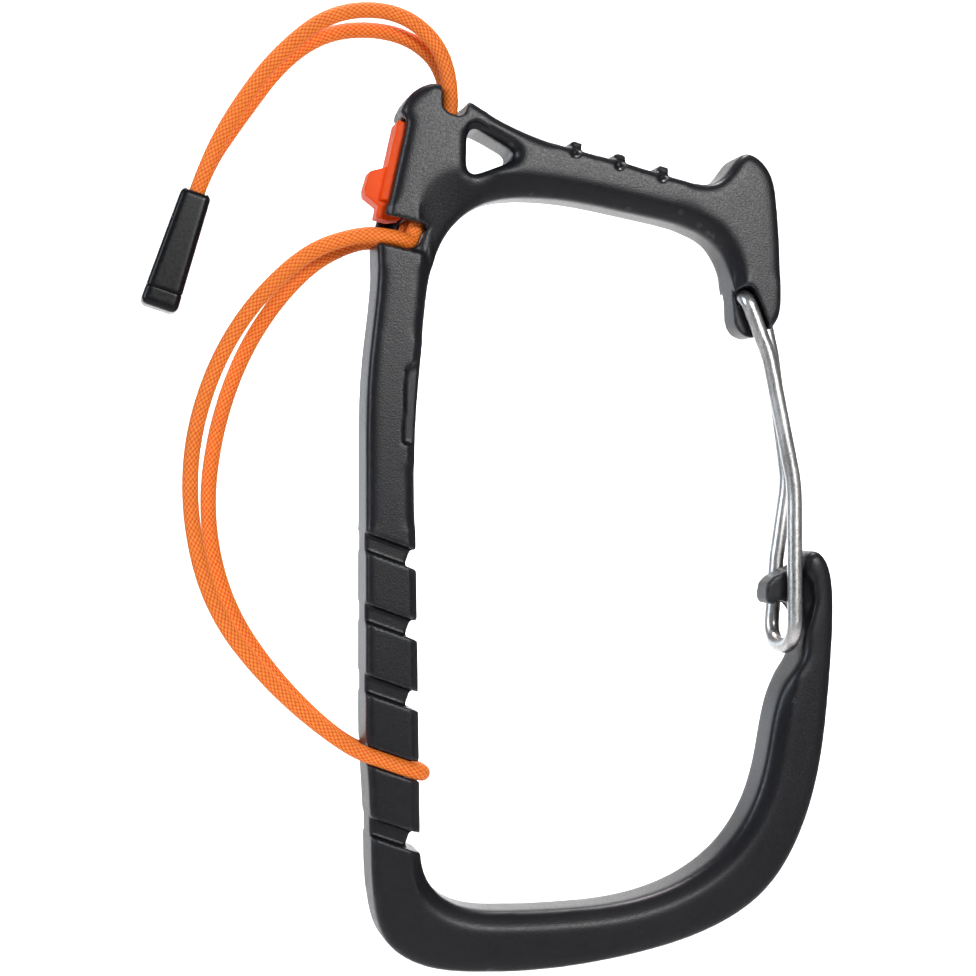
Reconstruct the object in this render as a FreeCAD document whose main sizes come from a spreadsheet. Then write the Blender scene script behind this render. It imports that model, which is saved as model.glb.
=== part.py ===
import FreeCAD, Part
import os
import math
import Sketcher

# Harness gear holder: a moulded nylon C-frame closed by a sprung wire gate,
# held on a waist belt by an elastic cord that hooks into one of five notches.
# Millimetres. X runs from the spine to the gate, Y is the thickness (front is
# minus Y), Z is up. The origin is on the spine's outer face, half way up the belt.

Vector = FreeCAD.Vector
doc = FreeCAD.newDocument("harness_gear_clip")
sheet = doc.addObject("Spreadsheet::Sheet", "sizes")

SIZES = [
    ("frame_wide", 80.5, "overall width of the nylon frame"),
    ("frame_tall", 146.2, "overall height of the nylon frame"),
    ("frame_thick", 11.0, "thickness of the nylon frame"),
    ("edge_round", 1.2, "rounding of the outer edges"),
    ("bevel_deep", 1.7, "depth of the inner bevel"),
    ("bevel_wide", 2.7, "width of the inner bevel on the arms"),
    ("cord_thick", 2.6, "diameter of the elastic cord"),
    ("slot_tall", 4.8, "height of the cord slot"),
    ("notch_first", -10.0, "height of the first cord notch at the inner edge"),
    ("notch_pitch", 11.5, "spacing of the cord notches"),
    ("notch_count", 5, "number of cord notches"),
    ("notch_wide", 2.9, "width of a cord notch"),
    ("notch_deep", 2.0, "depth of a notch groove into each face"),
    ("notch_tilt", 20.0, "slant of the notch grooves in degrees"),
    ("wire_thick", 2.6, "diameter of the gate wire"),
    ("leg_spread", 9.2, "distance between the two gate legs"),
    ("pivot_clear", 0.05, "radial clearance of the gate pivots"),
    ("web_thick", 5.8, "thickness of the web between the gate legs"),
    ("nose_thick", 5.4, "thickness of the hook nose"),
    ("channel_wide", 7.2, "width of the slider channel"),
    ("channel_deep", 3.2, "depth of the slider channel"),
    ("slider_clear", 0.15, "clearance of the slider on each side"),
    ("slider_proud", 1.1, "height of the slider above the wall edges"),
    ("slider_drop", 1.5, "travel of the slider before its foot meets the cord"),
    ("tooth_tall", 1.4, "height of the grip teeth"),
    ("tooth_wide", 2.4, "width of the grip teeth"),
    ("tooth_long", 8.0, "length of the grip teeth across the arm"),
    ("tab_thick", 6.6, "thickness of the pull tab"),
    ("tab_round", 1.1, "rounding of the pull tab edges"),
]

row = 1
for name, number, note in SIZES:
    sheet.set("A%d" % row, name)
    sheet.set("B%d" % row, str(number))
    sheet.set("C%d" % row, note)
    sheet.setAlias("B%d" % row, name)
    row = row + 1
doc.recompute()


def size(name):
    return float(sheet.get(name))


WIDE = size("frame_wide") / 80.5
TALL = size("frame_tall") / 146.2
THICK = size("frame_thick")
HALF = THICK / 2.0
CORD = size("cord_thick")
PITCH = size("notch_pitch")


def flat(x, z):
    # a point of the frame's side view, stretched with the overall sizes
    return Vector(x * WIDE, z * TALL, 0)


def flats(pairs):
    return [flat(x, z) for x, z in pairs]


# ---------------------------------------------------------------- helpers

def bind(item, prop, text):
    item.setExpression(prop, text)


def plane_of(body, role):
    for feature in body.Origin.OriginFeatures:
        if feature.Role == role:
            return feature
    raise RuntimeError("no plane " + role)


def new_body(label):
    body = doc.addObject("PartDesign::Body", label)
    body.Label = label
    return body


def new_sketch(body, name, offset_text=None, offset=0.0):
    sketch = body.newObject("Sketcher::SketchObject", name)
    sketch.AttachmentSupport = [(plane_of(body, "XZ_Plane"), "")]
    sketch.MapMode = "FlatFace"
    if offset_text:
        sketch.AttachmentOffset = FreeCAD.Placement(Vector(0, 0, offset), FreeCAD.Rotation())
        bind(sketch, "AttachmentOffset.Base.z", offset_text)
    return sketch


def add_polygon(sketch, points):
    count = len(points)
    for i in range(count):
        sketch.addGeometry(Part.LineSegment(points[i], points[(i + 1) % count]), False)


def add_round_polygon(sketch, points, radius):
    # a closed polygon whose corners are rounded by tangent arcs
    count = len(points)
    starts = []
    ends = []
    mids = []
    for i in range(count):
        before = points[i - 1]
        here = points[i]
        after = points[(i + 1) % count]
        to_before = (before - here).normalize()
        to_after = (after - here).normalize()
        half_angle = to_before.getAngle(to_after) / 2.0
        cut = radius / math.tan(half_angle)
        centre = here + (to_before + to_after).normalize() * (radius / math.sin(half_angle))
        starts.append(here + to_before * cut)
        ends.append(here + to_after * cut)
        mids.append(centre + (here - centre).normalize() * radius)
    for i in range(count):
        sketch.addGeometry(Part.Arc(starts[i], mids[i], ends[i]), False)
        sketch.addGeometry(Part.LineSegment(ends[i], starts[(i + 1) % count]), False)


def curve(points, first=None, last=None):
    # a smooth curve through the points, with the end directions given where they matter
    spline = Part.BSplineCurve()
    if first is None and last is None:
        spline.interpolate(Points=points)
        return spline
    places = [0.0]
    for before, after in zip(points, points[1:]):
        places.append(places[-1] + (after - before).Length)
    spline.interpolate(Points=points, Parameters=places, InitialTangent=first, FinalTangent=last,
                       Scale=False)
    return spline


def symmetric(feature):
    if hasattr(feature, "SideType"):
        feature.SideType = "Symmetric"
    else:
        feature.Midplane = True


def report(body, label):
    doc.recompute()
    shape = body.Shape
    print("%-22s volume %.1f valid %s" % (label, shape.Volume, shape.isValid()))


def add_pad(body, sketch, name, text):
    pad = body.newObject("PartDesign::Pad", name)
    pad.Profile = sketch
    symmetric(pad)
    bind(pad, "Length", text)
    sketch.Visibility = False
    report(body, name)
    return pad


def add_cut_middle(body, sketch, name, text):
    cut = body.newObject("PartDesign::Pocket", name)
    cut.Profile = sketch
    symmetric(cut)
    bind(cut, "Length", text)
    sketch.Visibility = False
    report(body, name)
    return cut


def add_cut_side(body, sketch, name, text, rear):
    cut = body.newObject("PartDesign::Pocket", name)
    cut.Profile = sketch
    bind(cut, "Length", text)
    cut.Reversed = rear
    sketch.Visibility = False
    report(body, name)
    return cut


FRONT = "sizes.frame_thick / 2"
REAR = "-sizes.frame_thick / 2"
THROUGH = "sizes.frame_thick * 2"

# ---------------------------------------------------------------- the lean
# Above the cord slot the spine leans towards the gate; the slider, its channel
# and the cord tunnel are set out along that lean.

LEAN_START = flat(2.1, 41.7)
LEAN_TOP = flat(6.88, 63.1)
LEAN = (LEAN_TOP - LEAN_START).normalize()
INWARD = Vector(LEAN.y, -LEAN.x, 0)


def lean(along, deep):
    return LEAN_START + LEAN * (along * TALL) + INWARD * deep


# ---------------------------------------------------------------- frame
frame = new_body("frame")

outline = new_sketch(frame, "frame_outline")
spine_foot = flat(0, -36)
spine_head = flat(0, 12)
lean_foot = flat(2.05, 46.8)
dome_foot = flat(5.6, 62.6)
tip = flat(77.2, -8.6)
hook_top = flat(75.2, -10.6)
hook_foot = flat(75.2, -25.0)
inner_foot = flat(9.15, -57.0)
inner_head = flat(8.2, 6.0)
up = Vector(0, 1, 0)
down = Vector(0, -1, 0)
inner_down = (inner_foot - inner_head).normalize()

chain = []
chain.append(Part.LineSegment(spine_foot, spine_head))
lean_points = [spine_head, flat(0.62, 24), flat(1.95, 40.5), lean_foot]
chain.append(curve(lean_points, up, LEAN))
chain.append(Part.LineSegment(lean_foot, dome_foot))
top_points = [dome_foot, flat(7.7, 66.6), flat(11.2, 68.2), flat(15.0, 66.8), flat(19.4, 64.2)]
top_points = top_points + flats([(25.5, 61.2), (33, 58.7), (44.5, 56.0)])
chain.append(curve(top_points, LEAN, Vector(0.966, -0.2588, 0)))
valley = [flat(44.5, 56.0), flat(54.5, 53.5), flat(59.4, 53.4), flat(61.9, 55.5), flat(64.9, 58.6)]
valley = valley + flats([(67.7, 57.3), (69.6, 54.5), (70.4, 50.0)])
chain.append(curve(valley, Vector(0.966, -0.2588, 0), Vector(0.1, -0.995, 0)))
head_side = flats([(70.4, 50.0), (71.0, 41.0), (71.1, 33.6)])
chain.append(curve(head_side, Vector(0.1, -0.995, 0), down))
head_foot = flats([(71.1, 33.6), (69.7, 29.4), (66.1, 27.5), (63.8, 29.1), (63.2, 33.0)])
chain.append(curve(head_foot, down, Vector(-0.08, 0.997, 0)))
underside = flats([(63.2, 33.0), (62.3, 38.2), (59.8, 42.8), (55.8, 45.3), (46.0, 47.7)])
underside = underside + flats([(35.0, 49.6), (27.0, 50.0), (20.1, 48.9), (14.6, 44.9)])
underside = underside + flats([(11.4, 38.8), (9.8, 29.0), (8.75, 18.0), (8.2, 6.0)])
chain.append(curve(underside, Vector(-0.08, 0.997, 0), inner_down))
chain.append(Part.LineSegment(inner_head, inner_foot))
arm_inner = [inner_foot] + flats([(10.3, -62.2), (15.0, -66.4), (23.0, -67.8), (33.0, -67.85)])
arm_inner = arm_inner + flats([(44.0, -67.0), (53.4, -64.2), (60.9, -59.2), (66.1, -52.0)])
arm_inner = arm_inner + flats([(68.7, -44.0), (70.2, -36.0), (72.4, -30.4)])
arm_inner = arm_inner + flats([(74.7, -27.0), (75.2, -25.0)])
chain.append(curve(arm_inner, inner_down, up))
chain.append(Part.LineSegment(hook_foot, hook_top))
chain.append(curve([hook_top, flat(75.8, -9.2), tip], up, Vector(1, 0, 0)))
arm_outer = [tip] + flats([(79.2, -10.2), (80.3, -14.0), (80.5, -20.0), (79.8, -31.5)])
arm_outer = arm_outer + flats([(77.9, -46.0), (74.2, -57.4), (68.2, -66.2), (59.2, -71.9)])
arm_outer = arm_outer + flats([(45.0, -75.9), (30.0, -77.7), (18.0, -77.6), (8.3, -75.7)])
arm_outer = arm_outer + flats([(3.3, -71.8), (1.35, -65.5), (0.75, -52.0), (0, -36)])
chain.append(curve(arm_outer, Vector(1, 0, 0), up))
for piece in chain:
    outline.addGeometry(piece, False)
pad = add_pad(frame, outline, "frame_pad", "sizes.frame_thick")

rim = []
for i, edge in enumerate(pad.Shape.Edges):
    heights = [edge.valueAt(edge.FirstParameter + (edge.LastParameter - edge.FirstParameter) * k).y
               for k in (0.0, 0.5, 1.0)]
    if max(heights) - min(heights) < 0.001:
        rim.append("Edge%d" % (i + 1))
soft = frame.newObject("PartDesign::Fillet", "frame_soft_edges")
soft.Base = (pad, rim)
bind(soft, "Radius", "sizes.edge_round")
report(frame, "frame_soft_edges")

# the wide bevel that runs round the inside of the frame on both faces
BEVEL_LINE = [(63.1, 31.5, 1.2), (62.6, 36.0, 2.2), (61.1, 40.8, 2.7), (57.2, 44.6, 2.9),
              (50.0, 46.8, 2.9), (42.0, 48.45, 2.9), (34.0, 49.7, 3.2), (27.0, 50.0, 3.8),
              (20.1, 48.9, 5.6), (16.8, 47.0, 8.0), (14.6, 44.9, 7.4), (12.8, 41.9, 4.4),
              (11.4, 38.8, 2.4), (9.8, 29.0, 1.5), (8.75, 18.0, 1.4), (8.2, 6.0, 1.4), (8.55, -12.0, 1.4), (8.8, -30.0, 1.4),
              (9.0, -48.0, 1.5), (9.25, -57.8, 1.8), (10.5, -62.6, 2.3), (15.0, -66.4, 2.7),
              (23.0, -67.8, 2.7), (33.0, -67.85, 2.7), (44.0, -67.0, 2.7), (53.4, -64.2, 2.7),
              (60.9, -59.2, 2.7), (66.1, -52.0, 2.7), (68.7, -44.0, 2.7), (70.2, -36.0, 2.5),
              (72.2, -30.7, 1.6)]
scale_bevel = size("bevel_wide") / 2.7
bevel_face = []
bevel_deep = []
count = len(BEVEL_LINE)
for i in range(count):
    here = flat(BEVEL_LINE[i][0], BEVEL_LINE[i][1])
    before = BEVEL_LINE[max(i - 1, 0)]
    after = BEVEL_LINE[min(i + 1, count - 1)]
    way = (flat(after[0], after[1]) - flat(before[0], before[1])).normalize()
    out = Vector(-way.y, way.x, 0) * -1.0
    bevel_face.append(here + out * (BEVEL_LINE[i][2] * scale_bevel))
    bevel_deep.append(here - out * 0.25)

lofts = []
for side in ("front", "rear"):
    sign = "" if side == "front" else "-"
    top = new_sketch(frame, "bevel_face_" + side, sign + "(sizes.frame_thick / 2 + 0.01)", HALF)
    top.addGeometry(curve(bevel_face), False)
    top.addGeometry(Part.LineSegment(bevel_face[-1], bevel_face[0]), False)
    low_text = sign + "(sizes.frame_thick / 2 - sizes.bevel_deep)"
    low = new_sketch(frame, "bevel_deep_" + side, low_text, HALF)
    low.addGeometry(curve(bevel_deep), False)
    low.addGeometry(Part.LineSegment(bevel_deep[-1], bevel_deep[0]), False)
    loft = frame.newObject("PartDesign::SubtractiveLoft", "bevel_" + side)
    loft.Profile = top
    loft.Sections = [low]
    loft.Ruled = True
    top.Visibility = False
    low.Visibility = False
    report(frame, "bevel_" + side)

# cord slot through the spine, square to the lean
slot_foot = (flat(2.5, 41.75) - LEAN_START).dot(LEAN) / TALL
slot_roof = slot_foot + size("slot_tall") / TALL
slot = new_sketch(frame, "slot_shape")
add_polygon(slot, [lean(slot_foot, -4), lean(slot_roof, -4), lean(slot_roof, 7.5),
                   lean(slot_foot, 7.5)])
add_cut_middle(frame, slot, "slot_cut", THROUGH)
step = new_sketch(frame, "slot_step_shape")
add_polygon(step, flats([(5.2, 40.9), (7.0, 41.2), (8.3, 41.4), (9.1, 42.2), (9.6, 43.3), (10.0, 44.2),
                         (10.8, 44.2), (10.8, 39.4), (5.2, 39.4)]))
add_pad(frame, step, "slot_step", "sizes.frame_thick - 2")

# the rear wall of the slider channel reaches down close to the cord and closes the slot behind
lip_foot = slot_foot + (size("cord_thick") + 0.7) / TALL
lip = new_sketch(frame, "slot_lip_shape", REAR, -HALF)
add_polygon(lip, [lean(lip_foot, 0), lean(slot_roof + 0.6, 0), lean(slot_roof + 0.6, 4.4),
                  lean(lip_foot, 4.4)])
lip_pad = frame.newObject("PartDesign::Pad", "slot_lip")
lip_pad.Profile = lip
bind(lip_pad, "Length", "(sizes.frame_thick - sizes.channel_wide) / 2")
lip.Visibility = False
report(frame, "slot_lip")

# the walls beside the slider stand back from its face
walls = new_sketch(frame, "wall_edge_shape")
add_polygon(walls, [lean(slot_foot + 1, -4), lean(21.4, -4), lean(21.4, 0), lean(slot_foot + 1, 0)])
add_cut_middle(frame, walls, "wall_edge_cut", THROUGH)

# slider channel with an undercut for the slider's flanges
DEEP = size("channel_deep")
channel = new_sketch(frame, "channel_shape")
add_polygon(channel, [lean(slot_foot + 1, -4), lean(21.4, -4), lean(21.4, DEEP),
                      lean(slot_foot + 1, DEEP)])
add_cut_middle(frame, channel, "channel_cut", "sizes.channel_wide")
undercut = new_sketch(frame, "undercut_shape")
add_polygon(undercut, [lean(slot_foot + 1, DEEP / 2), lean(21.4, DEEP / 2), lean(21.4, DEEP),
                       lean(slot_foot + 1, DEEP)])
add_cut_middle(frame, undercut, "undercut_cut", "sizes.channel_wide + 1.6")

# cord tunnel from the slot to the notch on top, bent where the cord turns upright
lane = CORD / 2.0 + 0.1
TUNNEL_LOW = (9.8, 48.0)
TUNNEL_BEND = (14.29, 60.66)
TUNNEL_TOP = (14.5, 63.6)
bend = flat(TUNNEL_BEND[0], TUNNEL_BEND[1])
RUN = (bend - flat(TUNNEL_LOW[0], TUNNEL_LOW[1])).normalize()
RISE = (flat(TUNNEL_TOP[0], TUNNEL_TOP[1]) - bend).normalize()
RUN_SIDE = Vector(RUN.y, -RUN.x, 0)
RISE_SIDE = Vector(RISE.y, -RISE.x, 0)
bore_half = CORD / 2.0 + 0.35
tunnel_low = bend - RUN * 20.5
tunnel_top = bend + RISE * 6
bend_side = (RUN_SIDE + RISE_SIDE).normalize()
tunnel = new_sketch(frame, "tunnel_shape")
add_polygon(tunnel, [tunnel_low - RUN_SIDE * bore_half, bend - bend_side * bore_half,
                     tunnel_top - RISE_SIDE * bore_half, tunnel_top + RISE_SIDE * bore_half,
                     bend + bend_side * bore_half, tunnel_low + RUN_SIDE * bore_half])
add_cut_middle(frame, tunnel, "tunnel_cut", "sizes.cord_thick * 2 + 0.8")

exit_notch = new_sketch(frame, "exit_notch_shape")
add_polygon(exit_notch, flats([(12.55, 72), (12.55, 64.4), (13.6, 63.4), (15.3, 62.9), (16.3, 63.3),
                               (16.8, 64.6), (17.3, 66.2), (18.4, 72)]))
add_cut_middle(frame, exit_notch, "exit_notch_cut", THROUGH)

# triangular eye in the root of the handle
eye = new_sketch(frame, "eye_shape")
add_round_polygon(eye, flats([(17.0, 61.8), (16.8, 53.0), (26.4, 56.7)]), 1.2)
add_cut_middle(frame, eye, "eye_cut", THROUGH)
for side in ("front", "rear"):
    sign = "" if side == "front" else "-"
    rim_sketch = new_sketch(frame, "eye_rim_" + side, sign + "sizes.frame_thick / 2", HALF)
    add_round_polygon(rim_sketch, flats([(16.3, 63.4), (16.1, 52.0), (28.2, 56.8)]), 1.9)
    add_cut_side(frame, rim_sketch, "eye_rim_cut_" + side, "sizes.bevel_deep / 2", side == "rear")

# five cord notches: a slanted groove in each face and a bite in the inner edge
tilt = math.radians(size("notch_tilt"))
groove_way = Vector(math.cos(tilt), -math.sin(tilt), 0)
groove_up = Vector(math.sin(tilt), math.cos(tilt), 0)
half_notch = size("notch_wide") / 2.0
inner_edge = 8.9 * WIDE
notch_top = Vector(inner_edge, size("notch_first"), 0)
cuts = []
for side in ("front", "rear"):
    sign = "" if side == "front" else "-"
    groove = new_sketch(frame, "groove_" + side, sign + "sizes.frame_thick / 2", HALF)
    left = notch_top - groove_way * 16
    right = notch_top + groove_way * 6
    add_polygon(groove, [left - groove_up * half_notch, right - groove_up * half_notch,
                         right + groove_up * half_notch, left + groove_up * half_notch])
    cuts.append(add_cut_side(frame, groove, "groove_cut_" + side, "sizes.notch_deep", side == "rear"))
bite = new_sketch(frame, "bite_shape")
bite_in = notch_top - groove_way * 1.9
add_polygon(bite, [bite_in - groove_up * half_notch, bite_in + groove_way * 7 - groove_up * half_notch,
                   bite_in + groove_way * 7 + groove_up * half_notch, bite_in + groove_up * half_notch])
cuts.append(add_cut_middle(frame, bite, "bite_cut", THROUGH))
pattern = frame.newObject("PartDesign::LinearPattern", "notch_row")
pattern.Originals = cuts
pattern.Direction = (bite, ["V_Axis"])
pattern.Reversed = True
bind(pattern, "Length", "sizes.notch_pitch * (sizes.notch_count - 1)")
bind(pattern, "Occurrences", "sizes.notch_count")
frame.Tip = pattern
report(frame, "notch_row")

# shallow waist on the inner half of the spine above the notches
for side in ("front", "rear"):
    sign = "" if side == "front" else "-"
    waist = new_sketch(frame, "waist_" + side, sign + "sizes.frame_thick / 2", HALF)
    add_polygon(waist, flats([(5.9, 9.3), (6.5, 21.5), (12.0, 24.5), (12.0, 7.6)]))
    add_cut_side(frame, waist, "waist_cut_" + side, "sizes.bevel_deep * 0.55", side == "rear")

# recesses in the head for the gate legs, and the pivot bore
PIVOT = flat(64.9, 34.2)
leg_room = size("wire_thick") / 2.0 + 0.45


def fan(angle_from, angle_to, far):
    # a wedge around the pivot between two directions, angles from straight down
    points = []
    one = Vector(math.sin(angle_from), -math.cos(angle_from), 0)
    two = Vector(math.sin(angle_to), -math.cos(angle_to), 0)
    one_side = Vector(-one.y, one.x, 0)
    two_side = Vector(-two.y, two.x, 0)
    points.append(PIVOT - two_side * leg_room - two * 0.4)
    points.append(PIVOT - (one + two).normalize() * leg_room * 1.15)
    points.append(PIVOT + one_side * leg_room - one * 0.4)
    points.append(PIVOT + one_side * leg_room + one * far)
    points.append(PIVOT + (one + two).normalize() * far * 1.25)
    points.append(PIVOT - two_side * leg_room + two * far)
    return points


leg_recess = "(sizes.frame_thick - sizes.web_thick) / 2"
front_fan = new_sketch(frame, "leg_fan_front", FRONT, HALF)
add_polygon(front_fan, fan(math.radians(22.5), math.radians(-62.0), 13.0))
add_cut_side(frame, front_fan, "leg_recess_front", leg_recess, False)
rear_fan = new_sketch(frame, "leg_fan_rear", REAR, HALF)
add_polygon(rear_fan, fan(math.radians(72.0), math.radians(-62.0), 14.0))
add_cut_side(frame, rear_fan, "leg_recess_rear", leg_recess, True)

bore = new_sketch(frame, "pivot_bore_shape")
bore.addGeometry(Part.Circle(PIVOT, Vector(0, 0, 1), size("wire_thick") / 2.0), False)
bore.addConstraint(Sketcher.Constraint("Radius", 0, size("wire_thick") / 2.0))
bore.setExpression("Constraints[0]", "sizes.wire_thick / 2 + sizes.pivot_clear")
add_cut_middle(frame, bore, "pivot_bore", THROUGH)

# hook nose: a thin beam that the gate's loop closes over
nose = new_sketch(frame, "nose_shape")
add_polygon(nose, flats([(76.4, -9.4), (73.9, -11.5), (70.5, -13.1), (69.4, -14.2), (69.1, -15.5),
                         (69.1, -16.9), (69.7, -17.8), (70.5, -17.7), (71.6, -17.1), (73.4, -17.6),
                         (74.6, -19.4), (75.0, -22.0), (77.0, -24.0), (78.0, -16.0)]))
add_pad(frame, nose, "nose_pad", "sizes.nose_thick")
for side in ("front", "rear"):
    sign = "" if side == "front" else "-"
    scoop = new_sketch(frame, "seat_scoop_" + side, sign + "sizes.frame_thick / 2", HALF)
    add_round_polygon(scoop, flats([(76.4, -12.9), (77.0, -17.2), (76.0, -21.0), (73.4, -24.4),
                                    (70.0, -27.4), (66.0, -24.0), (66.0, -12.9)]), 1.2)
    add_cut_side(frame, scoop, "seat_scoop_cut_" + side, "sizes.bevel_deep", side == "rear")

# three grip teeth on top of the handle
slope = math.radians(-13.5)
tooth_way = Vector(math.cos(slope), math.sin(slope), 0)
tooth_up = Vector(-math.sin(slope), math.cos(slope), 0)
for number, place in enumerate([(35.3, 58.15), (42.8, 56.35), (50.3, 54.55)]):
    foot = flat(place[0], place[1])
    half_tooth = size("tooth_wide") / 2.0
    rise = size("tooth_tall")
    tooth = new_sketch(frame, "tooth_shape_%d" % number)
    add_polygon(tooth, [foot - tooth_way * half_tooth - tooth_up * 1.5,
                        foot + tooth_way * half_tooth - tooth_up * 1.5,
                        foot + tooth_way * half_tooth * 0.75 + tooth_up * rise,
                        foot - tooth_way * half_tooth * 0.75 + tooth_up * rise])
    add_pad(frame, tooth, "tooth_%d" % number, "sizes.tooth_long")

# ---------------------------------------------------------------- slider
slider = new_body("lock_slider")
clear = size("slider_clear")
proud = size("slider_proud")
main = new_sketch(slider, "slider_shape")
add_polygon(main, [lean(7.4, -proud), lean(20.7, -proud), lean(20.7, DEEP - clear),
                   lean(7.4, DEEP - clear)])
add_pad(slider, main, "slider_pad", "sizes.channel_wide - sizes.slider_clear * 2")
# the foot stands one travel and a little clearance above the cord in the slot
foot = slot_foot + (size("cord_thick") + 0.2 + size("slider_drop")) / TALL
tongue = new_sketch(slider, "tongue_shape")
add_polygon(tongue, [lean(foot, -proud), lean(9.0, -proud), lean(9.0, DEEP - clear),
                     lean(foot + 0.7, DEEP - clear), lean(foot, 1.2)])
add_pad(slider, tongue, "tongue_pad", "sizes.channel_wide - 2.6")
flange = new_sketch(slider, "flange_shape")
add_polygon(flange, [lean(7.4, DEEP / 2 + clear), lean(20.7, DEEP / 2 + clear),
                     lean(20.7, DEEP - clear), lean(7.4, DEEP - clear)])
add_pad(slider, flange, "flange_pad", "sizes.channel_wide + 1.6 - sizes.slider_clear * 2")
nub = new_sketch(slider, "nub_shape")
add_polygon(nub, [lean(6.4, 0.4), lean(6.4, -proud), lean(7.6, -proud - 2.5), lean(8.6, -proud - 2.8),
                  lean(11.6, -proud - 2.6), lean(13.0, -proud), lean(13.0, 0.4)])
add_pad(slider, nub, "nub_pad", "sizes.channel_wide - 2.4")

# ---------------------------------------------------------------- pull tab
tab = new_body("tab_body")
tab_axis = Vector(-6.1, -18.7, 0).normalize()
tab_side = Vector(-tab_axis.y, tab_axis.x, 0)
TAB_TOP = flat(-27.0, 49.8)


def tab_point(along, across):
    return TAB_TOP + tab_axis * along + tab_side * across


def round_outside(body, base, text, along_from, along_to):
    # round the long side edges of a tab piece and both face outlines
    names = []
    for i, edge in enumerate(base.Shape.Edges):
        middle = edge.valueAt((edge.FirstParameter + edge.LastParameter) / 2.0)
        spot = Vector(middle.x, middle.z, 0) - TAB_TOP
        along = spot.dot(tab_axis)
        if along < along_from or along > along_to:
            continue
        names.append("Edge%d" % (i + 1))
    soft_edges = body.newObject("PartDesign::Fillet", body.Name + "_soft")
    soft_edges.Base = (base, names)
    bind(soft_edges, "Radius", text)
    report(body, body.Name + "_soft")


tab_shape = new_sketch(tab, "tab_shape")
add_polygon(tab_shape, [tab_point(0.0, 2.45), tab_point(0.0, -2.45), tab_point(16.9, -3.0),
                        tab_point(16.9, 3.0)])
tab_pad = add_pad(tab, tab_shape, "tab_pad", "sizes.tab_thick")
round_outside(tab, tab_pad, "sizes.tab_round", -1.0, 16.8)
tab_room = new_sketch(tab, "tab_room_shape")
add_polygon(tab_room, [tab_point(-1, 1.6), tab_point(-1, -1.6), tab_point(9.0, -1.6),
                       tab_point(9.0, -1.9), tab_point(18, -1.9), tab_point(18, 1.9),
                       tab_point(9.0, 1.9), tab_point(9.0, 1.6)])
tab_cut = add_cut_middle(tab, tab_room, "tab_room_cut", "sizes.cord_thick * 2 + 0.5")

cap = new_body("tab_cap")
cap_shape = new_sketch(cap, "cap_shape")
add_polygon(cap_shape, [tab_point(16.9, 3.0), tab_point(16.9, -3.0), tab_point(20.0, -3.1),
                        tab_point(20.0, 3.1)])
cap_pad = add_pad(cap, cap_shape, "cap_pad", "sizes.tab_thick")
round_outside(cap, cap_pad, "sizes.tab_round", 17.1, 21.0)
plug_shape = new_sketch(cap, "plug_shape")
add_polygon(plug_shape, [tab_point(14.9, 1.85), tab_point(14.9, -1.85), tab_point(17.8, -1.85),
                         tab_point(17.8, 1.85)])
add_pad(cap, plug_shape, "plug_pad", "sizes.cord_thick * 2 + 0.4")


# ---------------------------------------------------------------- tubes

def route(points, limit=None):
    # straight runs joined by tangent arcs, with the arc radii
    pieces = []
    radii = []
    count = len(points)
    here = points[0]
    for i in range(1, count - 1):
        back = points[i - 1] - points[i]
        ahead = points[i + 1] - points[i]
        short = min(back.Length, ahead.Length)
        turn = math.pi - back.getAngle(ahead)
        radius = 0.45 * short / math.tan(turn / 2.0)
        if limit is not None:
            radius = min(radius, limit[i] if isinstance(limit, dict) and i in limit else radius)
        cut = radius * math.tan(turn / 2.0)
        first = points[i] + back.normalize() * cut
        last = points[i] + ahead.normalize() * cut
        bisector = (back + ahead).normalize()
        centre = points[i] + bisector * (radius / math.cos(turn / 2.0))
        middle = centre - bisector * radius
        pieces.append(Part.LineSegment(here, first).toShape())
        pieces.append(Part.Arc(first, middle, last).toShape())
        radii.append(radius)
        here = last
    pieces.append(Part.LineSegment(here, points[-1]).toShape())
    return Part.Wire(pieces), radii


def tube(label, points, thick, limit=None):
    wire, radii = route(points, limit)
    way = (points[1] - points[0]).normalize()
    ring = Part.Wire([Part.Circle(points[0], way, thick / 2.0).toShape()])
    solid = wire.makePipeShell([ring], True, False)
    ideal = math.pi * thick * thick / 4.0 * wire.Length
    item = doc.addObject("Part::Feature", label)
    item.Label = label
    item.Shape = solid
    text = "tube %-18s length %.1f volume %.1f of %.1f least radius %.2f"
    print(text % (label, wire.Length, solid.Volume, ideal, min(radii) if radii else 0.0))
    print("   radii " + " ".join("%.1f" % r for r in radii))
    if abs(solid.Volume - ideal) > ideal * 0.02:
        raise RuntimeError("tube volume is off: " + label)
    return item


def at(x, y, z):
    return Vector(x * WIDE, y, z * TALL)


# gate: one bent wire, both ends in the pivot bore
spread = size("leg_spread") / 2.0
loop_foot = -25.0
gate_points = [at(64.9, -0.7, 34.2), at(64.9, -spread, 34.2), at(68.9, -spread, 24.2),
               at(73.4, -spread, 2.5), at(73.5, -spread, loop_foot), at(72.3, spread, loop_foot),
               at(73.5, spread, -10.0), at(75.5, spread, 3.0), at(72.6, spread, 25.0),
               at(71.2, spread, 31.4), at(64.9, spread, 34.2), at(64.9, 0.7, 34.2)]
gate_limit = {1: 1.7, 2: 18.0, 3: 30.0, 4: spread - 0.05, 5: spread - 0.05, 6: 12.0, 7: 16.0,
              8: 20.0, 9: 3.0, 10: 1.7}
gate = tube("gate_wire", gate_points, size("wire_thick"), gate_limit)

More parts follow.
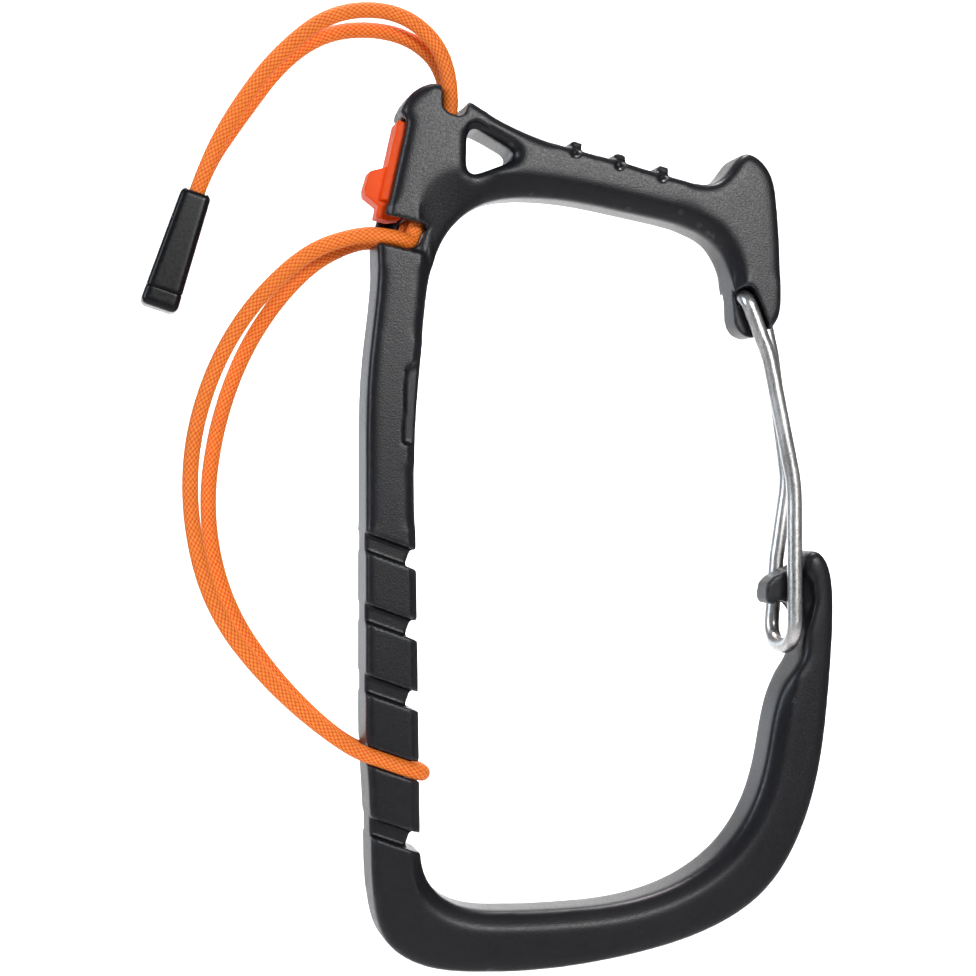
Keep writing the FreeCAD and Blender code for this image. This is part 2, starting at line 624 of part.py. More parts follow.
# elastic cord, in one frame of reference with the tunnel and the notch in use
used = 4
notch_z = (size("notch_first") - PITCH * (used - 1)) / TALL
deep_lane = HALF - size("notch_deep") + CORD / 2.0 + 0.1
corner = notch_z + 0.8 * math.tan(tilt) * WIDE / TALL
wrap_x = 8.9 + 1.0
BELT_FRONT = [(9.8, -lane, 48.0), (7.87, -lane, 42.53), (4.6, -4.0, 43.15), (-1.2, -4.1, 43.35),
              (-10.6, -4.1, 39.8), (-21.4, -3.8, 28.0), (-27.6, -3.4, 13.0), (-28.6, -3.2, -2.0),
              (-24.9, -3.4, -17.4), (-15.4, -4.0, -29.8), (-3.2, -4.6, -40.05),
              (3.4, -deep_lane, corner + 1.68), (8.1, -deep_lane, corner),
              (wrap_x, -2.95, notch_z - 0.35)]
BELT_REAR = [(wrap_x, 2.95, notch_z - 0.35), (8.1, deep_lane, corner),
             (3.4, deep_lane, corner + 1.68), (-3.2, 4.6, -40.0), (-14.2, 4.0, -29.2),
             (-22.2, 3.4, -17.0), (-25.4, 3.2, -2.5), (-23.6, 3.4, 12.4), (-18.2, 3.8, 26.6),
             (-9.2, 4.1, 38.2), (-0.8, 4.1, 42.9), (4.6, 4.0, 43.15), (7.87, lane, 42.53),
             (9.8, lane, 48.0)]
belt_points = [at(x, y, z) for x, y, z in BELT_FRONT + BELT_REAR]
belt = tube("belt_loop", belt_points, CORD)

for side, hand in (("front", -1), ("rear", 1)):
    inner_points = [at(x, hand * lane, z) for x, z in (TUNNEL_LOW, TUNNEL_BEND, TUNNEL_TOP)]
    tube("inner_cord_" + side, inner_points, CORD)

PULL_FRONT = [(14.5, -lane, 63.6), (15.1, -lane, 72.0), (7.5, -1.6, 80.3), (-4.5, -1.6, 80.3),
              (-14.0, -1.5, 72.6), (-21.2, -1.4, 62.6), (-25.75, -lane, 53.6), (-28.3, -lane, 45.8)]
PULL_REAR = [(14.5, lane, 63.6), (15.0, lane, 70.6), (8.2, 1.6, 77.4), (-3.6, 1.6, 77.9),
             (-12.4, 1.5, 72.7), (-20.3, 1.4, 61.8), (-25.75, lane, 53.6), (-28.3, lane, 45.8)]
for side, places in (("front", PULL_FRONT), ("rear", PULL_REAR)):
    tube("pull_cord_" + side, [at(x, y, z) for x, y, z in places], CORD)

# ---------------------------------------------------------------- checks and files
doc.recompute()
LABELS = ["frame", "lock_slider", "gate_wire", "belt_loop", "inner_cord_front", "inner_cord_rear",
          "pull_cord_front", "pull_cord_rear", "tab_body", "tab_cap"]
for item in doc.Objects:
    if "Invalid" in item.State or "Error" in item.State:
        raise RuntimeError("object in error: " + item.Name)
os.makedirs("parts", exist_ok=True)
for label in LABELS:
    item = doc.getObjectsByLabel(label)[0]
    shape = item.Shape
    if shape.isNull() or not shape.isValid():
        raise RuntimeError("bad shape: " + label)
    box = shape.BoundBox
    print("%-18s solids %d volume %.1f box %.1f %.1f %.1f to %.1f %.1f %.1f" % (
        label, len(shape.Solids), shape.Volume, box.XMin, box.YMin, box.ZMin,
        box.XMax, box.YMax, box.ZMax))
    shape.exportStep("parts/" + label + ".step")
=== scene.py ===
import math

import bmesh
import bpy
import numpy as np
from mathutils import Matrix, Vector


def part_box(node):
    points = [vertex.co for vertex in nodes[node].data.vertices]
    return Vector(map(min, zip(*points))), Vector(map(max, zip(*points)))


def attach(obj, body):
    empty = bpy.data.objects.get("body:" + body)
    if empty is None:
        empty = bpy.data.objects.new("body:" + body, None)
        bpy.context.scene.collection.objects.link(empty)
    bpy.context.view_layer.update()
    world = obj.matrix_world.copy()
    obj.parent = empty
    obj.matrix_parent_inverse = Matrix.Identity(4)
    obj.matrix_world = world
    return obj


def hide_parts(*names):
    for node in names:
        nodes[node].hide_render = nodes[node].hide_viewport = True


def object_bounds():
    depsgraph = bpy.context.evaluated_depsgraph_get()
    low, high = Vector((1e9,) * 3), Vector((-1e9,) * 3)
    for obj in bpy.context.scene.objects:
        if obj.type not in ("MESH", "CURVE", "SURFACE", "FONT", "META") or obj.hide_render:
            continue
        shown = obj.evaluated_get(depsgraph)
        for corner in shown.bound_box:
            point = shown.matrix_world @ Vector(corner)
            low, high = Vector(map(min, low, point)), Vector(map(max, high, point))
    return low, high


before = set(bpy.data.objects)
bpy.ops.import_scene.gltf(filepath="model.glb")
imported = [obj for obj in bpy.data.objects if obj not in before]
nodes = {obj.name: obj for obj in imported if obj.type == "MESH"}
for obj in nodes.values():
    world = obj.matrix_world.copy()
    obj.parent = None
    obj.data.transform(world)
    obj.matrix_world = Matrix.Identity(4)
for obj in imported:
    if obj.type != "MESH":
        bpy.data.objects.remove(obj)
cad_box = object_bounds()
scene = bpy.context.scene


# ---------------------------------------------------------------- helpers
def link(obj):
    scene.collection.objects.link(obj)
    return obj


def mesh_object(name, verts, faces):
    mesh = bpy.data.meshes.new(name)
    mesh.from_pydata([tuple(v) for v in verts], [], faces)
    mesh.update()
    return link(bpy.data.objects.new(name, mesh))


def baked(obj):
    """The object's mesh with its modifiers applied."""
    bpy.context.view_layer.update()
    evaluated = obj.evaluated_get(bpy.context.evaluated_depsgraph_get())
    mesh = bpy.data.meshes.new_from_object(evaluated)
    obj.modifiers.clear()
    old = obj.data
    obj.data = mesh
    bpy.data.meshes.remove(old)
    mesh.shade_smooth()
    return obj


CRISP_FADE = 0.0015
SPOT_REACH = 0.0030
SPOT_FADE = 0.0015
WEIGHT_STEPS = 10


def relax(piece, rounds, crisp=(), spots=()):
    """Rounds a piece's edges further, all over except in the crisp boxes, or only round the spots.

    Boxes and spots lie in the X-Z plane.
    """
    points = np.empty(len(piece.data.vertices) * 3, np.float32)
    piece.data.vertices.foreach_get("co", points)
    x, z = points[0::3], points[2::3]
    weight = np.ones(len(x))
    if spots:
        near = np.min([np.hypot(x - spot_x, z - spot_z) for spot_x, spot_z in spots], axis=0)
        weight = np.clip((SPOT_REACH - near) / SPOT_FADE, 0, 1)
    for low_x, low_z, high_x, high_z in crisp:
        away = np.maximum(np.maximum(low_x - x, x - high_x), np.maximum(low_z - z, z - high_z))
        weight = np.minimum(weight, np.clip(away / CRISP_FADE, 0, 1))
    group = piece.vertex_groups.new(name="relax")
    for step in range(WEIGHT_STEPS + 1):
        chosen = np.nonzero(np.round(weight * WEIGHT_STEPS) == step)[0]
        if len(chosen):
            group.add(chosen.tolist(), step / WEIGHT_STEPS, "REPLACE")
    smooth = piece.modifiers.new("relax", "SMOOTH")
    smooth.factor = 0.5
    smooth.iterations = rounds
    smooth.vertex_group = "relax"
    baked(piece)
    piece.vertex_groups.clear()
    return piece


# vertices nearer to each other than this are joined
SEAM = 2e-6


def shell(node, name, voxel, rounds, cutters=()):
    """A copy of a CAD node with softened moulded edges, cut by the small shapes named cutters."""
    mesh = nodes[node].data.copy()
    mesh.materials.clear()
    piece = link(bpy.data.objects.new(name, mesh))
    work = bmesh.new()
    work.from_mesh(mesh)
    bmesh.ops.remove_doubles(work, verts=work.verts, dist=SEAM)
    work.to_mesh(mesh)
    work.free()
    for cutter in cutters:
        cut = piece.modifiers.new("cut", "BOOLEAN")
        cut.operation = "DIFFERENCE"
        cut.solver = "EXACT"
        cut.use_self = True
        cut.object = cutter
    remesh = piece.modifiers.new("remesh", "REMESH")
    remesh.mode = "VOXEL"
    remesh.voxel_size = voxel
    smooth = piece.modifiers.new("smooth", "SMOOTH")
    smooth.factor = 0.5
    smooth.iterations = rounds
    baked(piece)
    for cutter in cutters:
        bpy.data.objects.remove(cutter)
    return piece


# ---------------------------------------------------------------- camera
camera_data = bpy.data.cameras.new("camera")
camera_data.lens = 77.5
camera_data.sensor_width = 36.0
camera_data.clip_start = 0.01
camera_data.clip_end = 20.0
camera = link(bpy.data.objects.new("camera", camera_data))
camera.location = (-0.0515, -0.3423, 0.0020)
camera.rotation_euler = (math.radians(90), 0, math.radians(-12))
scene.camera = camera


# ---------------------------------------------------------------- cords
# each strand's distance from the middle plane where two lie side by side
LANE = 0.0014
BELT_FRONT = [
    (0.0098, -LANE, 0.0480), (0.0083, -0.0015, 0.0430), (0.0072, -0.0027, 0.0422),
    (0.0046, -0.0040, 0.04295),
    (-0.0012, -0.0041, 0.04335), (-0.0106, -0.0041, 0.0398), (-0.0214, -0.0038, 0.0280),
    (-0.0276, -0.0034, 0.0130), (-0.0286, -0.0032, -0.0020), (-0.0249, -0.0034, -0.0174),
    (-0.0154, -0.0040, -0.0298), (-0.0032, -0.0046, -0.04005), (0.0034, -0.0049, -0.04253),
    (0.0081, -0.0049, -0.04421), (0.0099, -0.00295, -0.04485),
]
BELT_REAR = [
    (0.0099, 0.00295, -0.04485), (0.0081, 0.0049, -0.04421), (0.0034, 0.0049, -0.04253),
    (-0.0032, 0.0046, -0.0400), (-0.0142, 0.0040, -0.0292), (-0.0222, 0.0034, -0.0170),
    (-0.0254, 0.0032, -0.0025), (-0.0236, 0.0034, 0.0124), (-0.0182, 0.0038, 0.0266),
    (-0.0092, 0.0041, 0.0382), (-0.0008, 0.0041, 0.0429), (0.0046, 0.0040, 0.04295),
    (0.0066, 0.0030, 0.0424), (0.0074, 0.0016, 0.0434), (0.0079, LANE, 0.0455),
    (0.0098, LANE, 0.0480),
]
PULL_FRONT = [
    (0.0145, -LANE, 0.0636), (0.0151, -LANE, 0.0720), (0.0075, -0.0016, 0.0803),
    (-0.0045, -0.0016, 0.0803), (-0.0140, -0.0015, 0.0726), (-0.0212, -LANE, 0.0626),
    (-0.02575, -LANE, 0.0536), (-0.0283, -LANE, 0.0458),
]
PULL_REAR = [
    (0.0145, LANE, 0.0636), (0.0150, LANE, 0.0706), (0.0082, 0.0016, 0.0774),
    (-0.0036, 0.0016, 0.0779), (-0.0124, 0.0015, 0.0727), (-0.0203, LANE, 0.0618),
    (-0.02575, LANE, 0.0536), (-0.0283, LANE, 0.0458),
]
CORD = 0.0026
# plaits each way round the braided cover, the length of one, and the threads across one
PLAITS = 11
PLAIT_LONG = 0.00098
THREADS = 4
UV_PER_METRE = 100


def read_route(name, points):
    """Points along the smooth line that the route's NURBS spline gives."""
    curve = bpy.data.curves.new(name, "CURVE")
    curve.dimensions = "3D"
    spline = curve.splines.new("NURBS")
    spline.points.add(len(points) - 1)
    for place, point in zip(spline.points, points):
        place.co = (*point, 1.0)
    spline.order_u = 3
    spline.use_endpoint_u = True
    curve.resolution_u = 60
    drawn = link(bpy.data.objects.new(name, curve))
    bpy.context.view_layer.update()
    mesh = bpy.data.meshes.new_from_object(drawn)
    path = np.array([v.co[:] for v in mesh.vertices])
    bpy.data.objects.remove(drawn)
    return path


def plait_height(turn, along):
    """Height, 0 to 1, of the braid's plaits at a place round the cord and along it."""
    a = PLAITS * turn + along / PLAIT_LONG
    b = PLAITS * turn - along / PLAIT_LONG
    over_a = (np.floor(a) + np.floor(b)) % 2 < 0.5
    across = np.where(over_a, a % 1, b % 1) - 0.5
    lengthwise = np.where(over_a, b % 1, a % 1) - 0.5
    round_top = np.sqrt(np.clip(1 - (2 * across) ** 2 * 0.92, 0, 1))
    arch = 0.35 + 0.65 * np.cos(lengthwise * math.pi)
    return round_top * arch


def braided(name, path, sides=55, step=0.00017, deep=0.00011):
    """A cord's surface round a path, with the plaits of its braided cover in the mesh."""
    runs = np.linalg.norm(np.diff(path, axis=0), axis=1)
    far = np.concatenate([[0], np.cumsum(runs)])
    count = int(far[-1] / step) + 1
    places = np.linspace(0, far[-1], count)
    middle = np.stack([np.interp(places, far, path[:, k]) for k in range(3)], axis=1)
    way = np.gradient(middle, axis=0)
    way /= np.linalg.norm(way, axis=1)[:, None]
    side = np.cross(way[0], (0.0, 1.0, 0.2))
    side /= np.linalg.norm(side)
    sidewise = []
    for k in range(count):
        side = side - way[k] * np.dot(side, way[k])
        side = side / np.linalg.norm(side)
        sidewise.append(side)
    sidewise = np.array(sidewise)
    upwise = np.cross(way, sidewise)
    turn = np.arange(sides) / sides
    height = plait_height(turn[None, :], places[:, None])
    reach = CORD / 2 - deep * 0.75 + deep * height
    angle = turn * 2 * math.pi
    verts = (middle[:, None, :]
             + reach[..., None] * (np.cos(angle)[None, :, None] * sidewise[:, None, :]
                                   + np.sin(angle)[None, :, None] * upwise[:, None, :]))
    verts = verts.reshape(-1, 3)
    faces = []
    coords = []
    for k in range(count - 1):
        low, high = places[k] * UV_PER_METRE, places[k + 1] * UV_PER_METRE
        for j in range(sides):
            n = (j + 1) % sides
            here, ahead = k * sides, (k + 1) * sides
            faces.append((here + j, here + n, ahead + n, ahead + j))
            u, w = j / sides, (j + 1) / sides
            coords += [u, low, w, low, w, high, u, high]
    first, last = len(verts), len(verts) + 1
    verts = np.vstack([verts, middle[:1], middle[-1:]])
    for j in range(sides):
        n = (j + 1) % sides
        faces.append((first, n, j))
        faces.append((last, (count - 1) * sides + j, (count - 1) * sides + n))
        coords += [0.0, 0.0] * 6
    piece = mesh_object(name, verts, faces)
    layer = piece.data.uv_layers.new(name="round_and_along")
    layer.data.foreach_set("uv", np.array(coords, np.float32))
    # the plait height; the cord's material also paints shade in the valleys and highlight on the
    # crests from it
    tone = piece.data.attributes.new("plait", "FLOAT", "POINT")
    tone.data.foreach_set("value", np.concatenate([height.reshape(-1), [0, 0]]).astype(np.float32))
    piece.data.shade_smooth()
    return piece


belt_path = read_route("belt_route", BELT_FRONT + BELT_REAR)
belt_cord = braided("belt_cord", belt_path)
pull_front_path = read_route("pull_front_route", PULL_FRONT)
pull_front = braided("pull_strand_front", pull_front_path)
pull_rear_path = read_route("pull_rear_route", PULL_REAR)
pull_rear = braided("pull_strand_rear", pull_rear_path)


# ---------------------------------------------------------------- materials
class Nodes:
    """A short way to write a node material."""

    def __init__(self, name):
        self.material = bpy.data.materials.new(name)
        self.material.use_nodes = True
        self.tree = self.material.node_tree
        self.shader = self.tree.nodes["Principled BSDF"]

    def add(self, kind, **values):
        node = self.tree.nodes.new(kind)
        for key, value in values.items():
            setattr(node, key, value)
        return node

    def join(self, out, into):
        self.tree.links.new(out, into)

    def set(self, **values):
        for key, value in values.items():
            self.shader.inputs[key.replace("_", " ")].default_value = value

    def place(self):
        if not hasattr(self, "coords"):
            self.coords = self.add("ShaderNodeTexCoord")
        return self.coords.outputs["Object"]

    def noise(self, scale, detail=3.0, rough=0.55, stretch=None):
        node = self.add("ShaderNodeTexNoise")
        node.inputs["Scale"].default_value = scale
        node.inputs["Detail"].default_value = detail
        node.inputs["Roughness"].default_value = rough
        source = self.place()
        if stretch:
            mapping = self.add("ShaderNodeMapping")
            mapping.inputs["Scale"].default_value = stretch
            self.join(source, mapping.inputs["Vector"])
            source = mapping.outputs["Vector"]
        self.join(source, node.inputs["Vector"])
        return node.outputs["Fac"]

    def cells(self, scale):
        node = self.add("ShaderNodeTexVoronoi", feature="F1")
        node.inputs["Scale"].default_value = scale
        self.join(self.place(), node.inputs["Vector"])
        return node.outputs["Distance"]

    def ramp(self, source, stops):
        node = self.add("ShaderNodeValToRGB")
        for _ in range(len(stops) - 2):
            node.color_ramp.elements.new(0.5)
        for element, (place, colour) in zip(node.color_ramp.elements, stops):
            element.position = place
            element.color = (*colour, 1.0)
        self.join(source, node.inputs["Fac"])
        return node.outputs["Color"]

    def math(self, operation, one, two=None):
        node = self.add("ShaderNodeMath", operation=operation)
        for slot, value in zip(node.inputs, (one, two)):
            if value is None:
                continue
            if isinstance(value, (int, float)):
                slot.default_value = value
            else:
                self.join(value, slot)
        return node.outputs[0]

    def range(self, source, low, high, to_low, to_high):
        node = self.add("ShaderNodeMapRange")
        names = ("From Min", "From Max", "To Min", "To Max")
        for slot, value in zip(names, (low, high, to_low, to_high)):
            node.inputs[slot].default_value = value
        self.join(source, node.inputs["Value"])
        return node.outputs["Result"]

    def mix(self, factor, one, two, blend="MIX"):
        node = self.add("ShaderNodeMix", data_type="RGBA", blend_type=blend)
        for slot, value in (("Factor", factor), ("A", one), ("B", two)):
            # a mix node has one set of sockets for each data type
            socket = [s for s in node.inputs if s.name == slot and s.enabled][0]
            if isinstance(value, (int, float)):
                socket.default_value = value
            elif isinstance(value, tuple):
                socket.default_value = (*value, 1.0)
            else:
                self.join(value, socket)
        return [s for s in node.outputs if s.enabled][0]

    def bump(self, height, distance, strength=1.0, under=None):
        node = self.add("ShaderNodeBump")
        node.inputs["Distance"].default_value = distance
        node.inputs["Strength"].default_value = strength
        self.join(height, node.inputs["Height"])
        if under is not None:
            self.join(under, node.inputs["Normal"])
        self.join(node.outputs["Normal"], self.shader.inputs["Normal"])
        return node.outputs["Normal"]


def nylon():
    m = Nodes("frame_nylon")
    m.set(IOR=1.38, Metallic=0.0)
    grain = m.noise(5200, 2.0, 0.6)
    cells = m.cells(3600)
    fine = m.math("ADD", m.math("MULTIPLY", cells, 0.7), m.math("MULTIPLY", grain, 0.8))
    m.bump(fine, 0.00003, 0.6, m.bump(m.noise(240, 1.0, 0.5), 0.00005, 0.10))
    cloudy = m.noise(90, 4.0, 0.6)
    base = m.ramp(cloudy, [(0.3, (0.0060, 0.0062, 0.0080)), (0.7, (0.0100, 0.0103, 0.0130))])
    geometry = m.add("ShaderNodeNewGeometry")
    # painted highlight: the base colour turns a lighter grey on sharp convex edges, in patches set
    # by noise
    edge_highlight = m.ramp(geometry.outputs["Pointiness"], [(0.505, (0, 0, 0)), (0.56, (1, 1, 1))])
    edge_highlight = m.math("MULTIPLY", edge_highlight, m.range(m.noise(700, 4.0, 0.7), 0.35, 0.7, 0.0, 1.0))
    colour = m.mix(edge_highlight, base, (0.050, 0.052, 0.060))
    m.join(colour, m.shader.inputs["Base Color"])
    rough = m.range(m.noise(2400, 4.0, 0.6), 0.3, 0.7, 0.30, 0.42)
    m.join(rough, m.shader.inputs["Roughness"])
    return m.material


def slider_plastic():
    m = Nodes("slider_nylon")
    m.set(IOR=1.2)
    colour = m.ramp(m.noise(160, 4.0, 0.6), [(0.3, (0.80, 0.070, 0.005)),
                                             (0.7, (0.92, 0.095, 0.007))])
    m.join(colour, m.shader.inputs["Base Color"])
    m.join(m.range(m.noise(900, 3.0, 0.6), 0.3, 0.7, 0.36, 0.50), m.shader.inputs["Roughness"])
    m.bump(m.noise(2200, 2.0, 0.6), 0.00002, 0.5)
    return m.material


def steel():
    m = Nodes("gate_steel")
    m.set(Metallic=1.0)
    streak = m.noise(900, 4.0, 0.7, stretch=(1.0, 1.0, 0.12))
    speckle = m.noise(3000, 3.0, 0.7)
    tone = m.math("ADD", m.math("MULTIPLY", streak, 0.5), m.math("MULTIPLY", speckle, 0.5))
    colour = m.ramp(tone, [(0.36, (0.42, 0.415, 0.405)), (0.62, (0.78, 0.775, 0.76))])
    m.join(colour, m.shader.inputs["Base Color"])
    m.join(m.range(tone, 0.35, 0.65, 0.26, 0.44), m.shader.inputs["Roughness"])
    m.bump(tone, 0.00003, 0.7)
    return m.material


def elastic():
    m = Nodes("elastic_cord")
    uv = m.add("ShaderNodeUVMap", uv_map="round_and_along")
    split = m.add("ShaderNodeSeparateXYZ")
    m.join(uv.outputs["UV"], split.inputs["Vector"])
    turn = m.math("MULTIPLY", split.outputs["X"], float(PLAITS))
    along = m.math("MULTIPLY", split.outputs["Y"], 1 / (UV_PER_METRE * PLAIT_LONG))
    a = m.math("ADD", turn, along)
    b = m.math("SUBTRACT", turn, along)
    parity = m.math("FLOORED_MODULO", m.math("ADD", m.math("FLOOR", a), m.math("FLOOR", b)), 2.0)
    thread_a = m.math("SINE", m.math("MULTIPLY", a, 2 * math.pi * THREADS))
    thread_b = m.math("SINE", m.math("MULTIPLY", b, 2 * math.pi * THREADS))
    picked = m.add("ShaderNodeMix", data_type="FLOAT")
    m.join(parity, picked.inputs["Factor"])
    m.join(thread_a, picked.inputs["A"])
    m.join(thread_b, picked.inputs["B"])
    thread = m.range(picked.outputs["Result"], -1.0, 1.0, 0.0, 1.0)
    plait = m.add("ShaderNodeAttribute", attribute_name="plait")
    fuzz = m.noise(2600, 3.0, 0.7)
    # painted shade and painted highlight: the colour darkens to deep red in the valleys between
    # plaits and threads and turns lighter and yellower on their crests, with random fuzz
    painted_plait_shade = m.math("ADD", m.math("MULTIPLY", plait.outputs["Fac"], 0.72),
                   m.math("ADD", m.math("MULTIPLY", thread, 0.13), m.math("MULTIPLY", fuzz, 0.20)))
    colour = m.ramp(painted_plait_shade, [(0.22, (0.50, 0.018, 0.003)), (0.50, (0.92, 0.112, 0.006)),
                            (0.86, (1.00, 0.390, 0.038))])
    patch = m.range(m.noise(130, 3.0, 0.5), 0.3, 0.7, 0.93, 1.05)
    colour = m.mix(1.0, colour, m.mix(patch, (0.0, 0.0, 0.0), (1.0, 1.0, 1.0)), "MULTIPLY")
    m.join(colour, m.shader.inputs["Base Color"])
    m.set(Roughness=0.66, Sheen_Weight=0.08, Sheen_Roughness=0.4)
    m.shader.inputs["Sheen Tint"].default_value = (1.0, 0.75, 0.5, 1.0)
    m.bump(m.math("ADD", m.math("MULTIPLY", thread, 0.6), fuzz), 0.00003, 0.7)
    return m.material


def tab_plastic():
    m = Nodes("tab_plastic")
    m.set(IOR=1.30)
    colour = m.ramp(m.noise(120, 4.0, 0.6), [(0.3, (0.0045, 0.0045, 0.005)),
                                             (0.7, (0.0085, 0.0085, 0.0095))])
    m.join(colour, m.shader.inputs["Base Color"])
    m.join(m.range(m.noise(1500, 4.0, 0.6), 0.3, 0.7, 0.22, 0.34), m.shader.inputs["Roughness"])
    m.bump(m.noise(2400, 3.0, 0.5), 0.00002, 0.35)
    return m.material


NYLON = nylon()
SLIDER = slider_plastic()
STEEL = steel()
ELASTIC = elastic()
TAB = tab_plastic()


def dress(piece, material):
    piece.data.materials.clear()
    piece.data.materials.append(material)
    return piece


# ---------------------------------------------------------------- pieces
def closed(piece):
    """Turns a closed piece's faces outwards."""
    work = bmesh.new()
    work.from_mesh(piece.data)
    bmesh.ops.recalc_face_normals(work, faces=work.faces)
    work.to_mesh(piece.data)
    work.free()
    return piece


# the edges of the two walls beside the slider are cut back, and the remesh rounds them
LEAN = Vector((0.218, 0, 0.976)).normalized()
INWARD = Vector((0.976, 0, -0.218)).normalized()
WALL_START = Vector((0.0021, 0, 0.0417))
WALL_RUN = (0.0048, 0.0213)
# a three-cornered section, each corner by its distance into the spine and out past its face
TRIM_SECTION = ((-0.0030, 0.0030), (0.0040, 0.0030), (-0.0030, -0.0040))
PRISM_FACES = [(0, 1, 2), (5, 4, 3), (0, 3, 4, 1), (1, 4, 5, 2), (2, 5, 3, 0)]
half_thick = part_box("frame")[1].y
wall_trims = []
for sign in (-1, 1):
    corners = []
    for along in WALL_RUN:
        for into, out in TRIM_SECTION:
            corners.append(WALL_START + LEAN * along + INWARD * into
                           + Vector((0, sign * (half_thick + out), 0)))
    wall_trims.append(closed(mesh_object("wall_trim", corners, PRISM_FACES)))

# a small round scoop at the foot of each grip tooth, in the front face and in the rear face
TOOTH_FEET = ((0.0353, 0.05815), (0.0428, 0.05635), (0.0503, 0.05455))
SCOOP_RADIUS = 0.00080
SCOOP_LONG = 1.1
slope = math.radians(-13.5)
tooth_up = Vector((-math.sin(slope), 0, math.cos(slope)))
turn = tooth_up.to_track_quat("Z", "Y").to_matrix().to_4x4()
stretch = Matrix.Diagonal((1, 1, SCOOP_LONG, 1))
scoops = []
for x, z in TOOTH_FEET:
    for sign in (-1, 1):
        work = bmesh.new()
        bmesh.ops.create_uvsphere(work, u_segments=20, v_segments=12, radius=SCOOP_RADIUS)
        where = Vector((x - 0.0002, sign * (half_thick - 0.0002), z)) - tooth_up * 0.0006
        bmesh.ops.transform(work, matrix=Matrix.Translation(where) @ turn @ stretch,
                            verts=work.verts)
        mesh = bpy.data.meshes.new("scoop")
        work.to_mesh(mesh)
        work.free()
        scoops.append(link(bpy.data.objects.new("scoop", mesh)))

# features that keep their edges, each as low x, low z, high x, high z
CRISP = [
    (-0.002, -0.0640, 0.0125, -0.0050),  # the row of notches
    (0.0030, 0.0060, 0.0100, 0.0260),  # the waist
    (0.0000, 0.0385, 0.0112, 0.0480),  # the cord slot
    (0.0110, 0.0610, 0.0200, 0.0700),  # the cord's notch on top
    (0.0320, 0.0555, 0.0380, 0.0640),  # the three grip teeth
    (0.0390, 0.0535, 0.0460, 0.0620),
    (0.0470, 0.0520, 0.0540, 0.0600),
    (0.0610, 0.0270, 0.0705, 0.0368),  # the gate's pivot
    (0.0660, -0.0200, 0.0730, -0.0120),  # the nose
]
# places on the frame where small dots showed, rounded once more
BLEMISHES = ((0.0199, 0.0512), (0.0545, 0.0482), (0.0590, 0.0442))
RELAX_ROUNDS = 60
FRAME_VOXEL = 0.00032
SLIDER_VOXEL = 0.00016
TAB_VOXEL = 0.00018

holder = shell("frame", "holder_frame", FRAME_VOXEL, 4, cutters=wall_trims + scoops)
relax(holder, RELAX_ROUNDS, CRISP)
relax(holder, RELAX_ROUNDS, spots=BLEMISHES)
dress(holder, NYLON)
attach(holder, "frame")
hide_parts("frame")

slider = shell("lock_slider", "orange_slider", SLIDER_VOXEL, 3)
dress(slider, SLIDER)
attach(slider, "slider")
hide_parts("lock_slider")

tab = shell("tab_body", "pull_tab", TAB_VOXEL, 4)
dress(tab, TAB)
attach(tab, "frame")
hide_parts("tab_body")
cap = shell("tab_cap", "tab_plug", TAB_VOXEL, 4)
dress(cap, TAB)
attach(cap, "frame")
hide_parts("tab_cap")

# the gate and the two strands in the tunnel are shown as the CAD nodes are
for name, material in (("gate_wire", STEEL), ("inner_cord_front", ELASTIC),
                       ("inner_cord_rear", ELASTIC)):
    for slot in nodes[name].material_slots:
        slot.material = material

dress(belt_cord, ELASTIC)
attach(belt_cord, "frame")
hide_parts("belt_loop")
for piece, path, node, length in ((pull_front, pull_front_path, "pull_cord_front", 0.073),
                                  (pull_rear, pull_rear_path, "pull_cord_rear", 0.069)):
    dress(piece, ELASTIC)
    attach(piece, "frame")
    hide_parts(node)


# ---------------------------------------------------------------- stage and light
FLOOR_GAP = 0.060
FLOOR_FROM, FLOOR_TO = -1.8, 0.55
SWEEP_RADIUS = 0.45
SWEEP_TOP = 1.8
SWEEP_HALF_WIDTH = 2.4
SWEEP_STEPS = 16
floor_z = cad_box[0][2] - FLOOR_GAP
profile = [(FLOOR_FROM, floor_z), (FLOOR_TO, floor_z)]
for k in range(1, SWEEP_STEPS + 1):
    bend = math.radians(90 * k / SWEEP_STEPS)
    profile.append((FLOOR_TO + SWEEP_RADIUS * math.sin(bend),
                    floor_z + SWEEP_RADIUS * (1 - math.cos(bend))))
profile.append((FLOOR_TO + SWEEP_RADIUS, SWEEP_TOP))
sweep_verts = [(x, y, z) for y, z in profile for x in (-SWEEP_HALF_WIDTH, SWEEP_HALF_WIDTH)]
sweep_faces = [(2 * k, 2 * k + 1, 2 * k + 3, 2 * k + 2) for k in range(len(profile) - 1)]
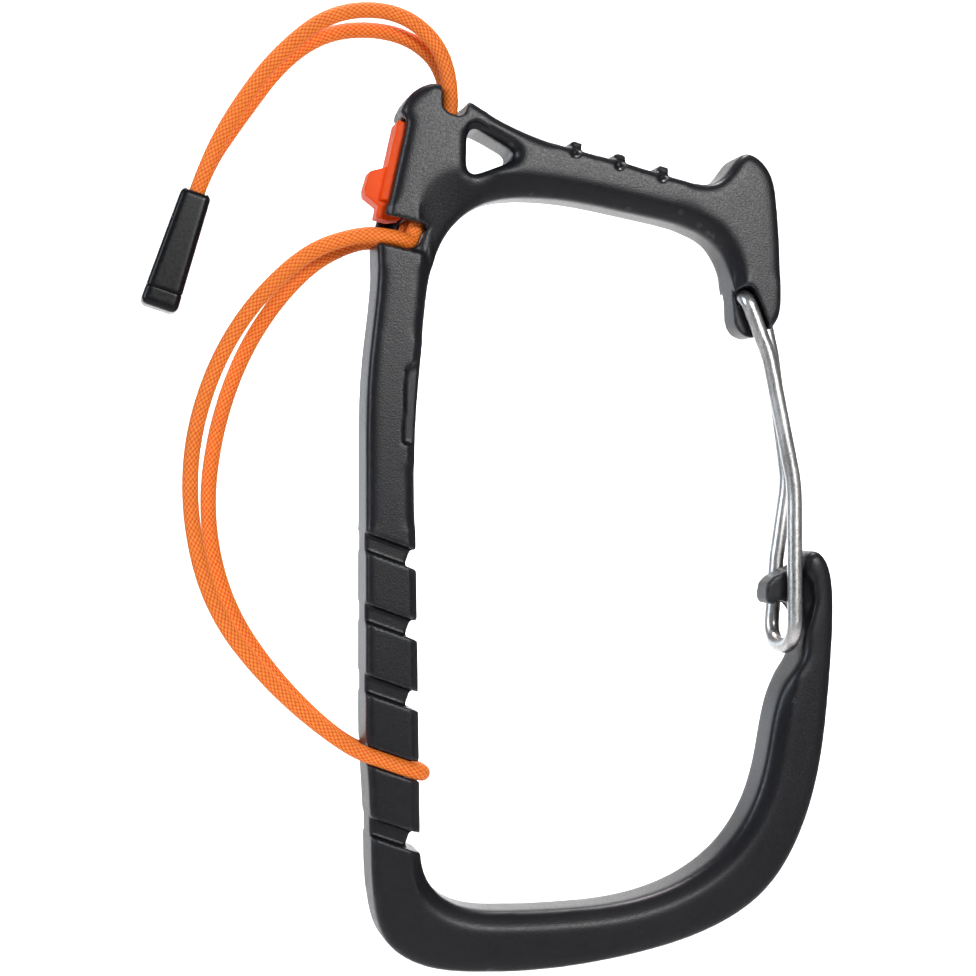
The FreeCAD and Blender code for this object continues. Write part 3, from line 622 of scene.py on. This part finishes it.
sweep = mesh_object("paper_sweep", sweep_verts, sweep_faces)
sweep.data.shade_smooth()
paper = Nodes("paper")
paper.join(paper.ramp(paper.noise(40, 3.0, 0.6), [(0.3, (0.88, 0.88, 0.88)),
                                                  (0.7, (0.91, 0.91, 0.91))]),
           paper.shader.inputs["Base Color"])
paper.set(Roughness=0.9)
sweep.data.materials.append(paper.material)

world = bpy.data.worlds.new("studio")
scene.world = world
world.use_nodes = True
sky = world.node_tree.nodes["Background"].inputs
sky["Color"].default_value = (0.95, 0.97, 1.0, 1)
sky["Strength"].default_value = 0.18


def soft_box(name, place, aim, size, power, colour=(1, 1, 1), spread=60):
    data = bpy.data.lights.new(name, "AREA")
    data.shape = "RECTANGLE"
    data.size = size[0]
    data.size_y = size[1]
    data.energy = power
    data.color = colour
    data.spread = math.radians(spread)
    lamp = link(bpy.data.objects.new(name, data))
    lamp.location = place
    lamp.visible_camera = False
    lamp.rotation_euler = (Vector(aim) - Vector(place)).to_track_quat("-Z", "Y").to_euler()
    return lamp


# the paper behind is lit on its own, from above
soft_box("paper_top", (0.24, 0.45, 1.10), (0.24, 1.0, 0.06), (0.50, 0.30), 4.4, spread=64)
soft_box("paper_low", (0.24, 0.45, 0.62), (0.20, 0.50, -0.14), (0.70, 0.30), 2.4, spread=84)
# the object is lit from the front, a little above the camera, so that its upper parts are the
# brightest, with a warm light from above and cool ones from behind and from the left
soft_box("key", (0.25, -0.78, 0.24), (0.04, 0, 0.05), (0.32, 0.14), 0.53)
soft_box("top", (0.0, 0.16, 0.75), (0.01, 0, 0.03), (0.26, 0.20), 0.5, colour=(1.0, 0.88, 0.90))
soft_box("edge", (-0.36, 0.70, -0.02), (0.0, 0, 0.0), (0.22, 0.50), 0.10, colour=(0.80, 0.88, 1.0))
soft_box("left", (-0.76, -0.18, 0.24), (0.0, 0, 0.02), (0.20, 0.40), 0.40, colour=(0.80, 0.89, 1.0))

scene.view_settings.view_transform = "Standard"
scene.view_settings.look = "None"
